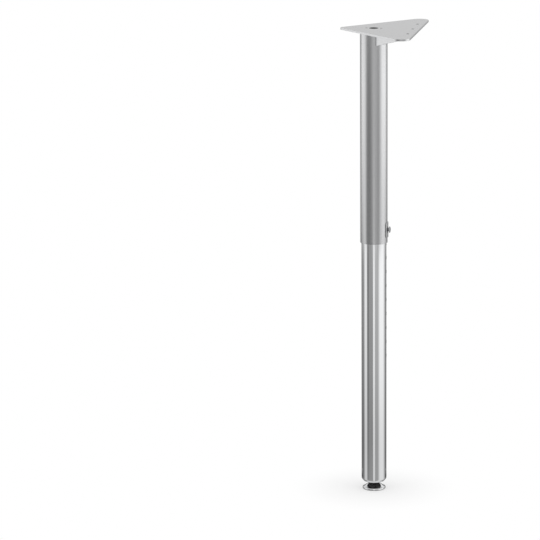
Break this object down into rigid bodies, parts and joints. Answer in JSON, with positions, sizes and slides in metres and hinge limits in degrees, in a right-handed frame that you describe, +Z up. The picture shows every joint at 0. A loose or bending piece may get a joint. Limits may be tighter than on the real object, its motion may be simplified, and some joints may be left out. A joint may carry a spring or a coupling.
{
  "type": "height adjustable table leg",
  "caption": "Telescopic table leg: a chromed lower tube with a row of lock holes slides in a silver upper tube with a triangular corner plate, a lock screw and a levelling foot.",
  "frame": {"origin": "on the floor, under the axis of the tubes", "axes": "+Z up along the tubes; +X from the tubes towards the corner plate's long edge, the side that the lock screw faces; +Y along that edge"},
  "size_m": [0.1396, 0.242, 0.833],
  "materials": {
    "silver_paint": "satin silver lacquer",
    "chrome_plate": "polished chrome plating",
    "zinc_steel": "zinc plated steel",
    "black_nylon": "moulded black nylon"
  },
  "bodies": {
    "upper": {"corner_plate": "silver_paint", "gusset_left": "silver_paint", "gusset_right": "silver_paint", "upper_tube": "silver_paint", "lock_saddle": "silver_paint"},
    "lock": {"lock_screw": "zinc_steel"},
    "lower": {"lower_tube": "chrome_plate", "top_glide": "black_nylon", "foot_insert": "black_nylon"},
    "foot": {"foot_shell": "chrome_plate", "foot_pad": "black_nylon", "foot_stud": "zinc_steel", "foot_nut": "zinc_steel"}
  },
  "joints": [
    {"name": "height_slide", "type": "slide", "parent": "upper", "child": "lower", "axis": [0, 0, -1], "range_m": [-0.2286, 0.0254]},
    {"name": "lock_screw_travel", "type": "slide", "parent": "upper", "child": "lock", "axis": [-1, 0, 0], "range_m": [0, 0.0016]},
    {"name": "foot_level", "type": "slide", "parent": "lower", "child": "foot", "axis": [0, 0, -1], "range_m": [0, 0.015]}
  ]
}
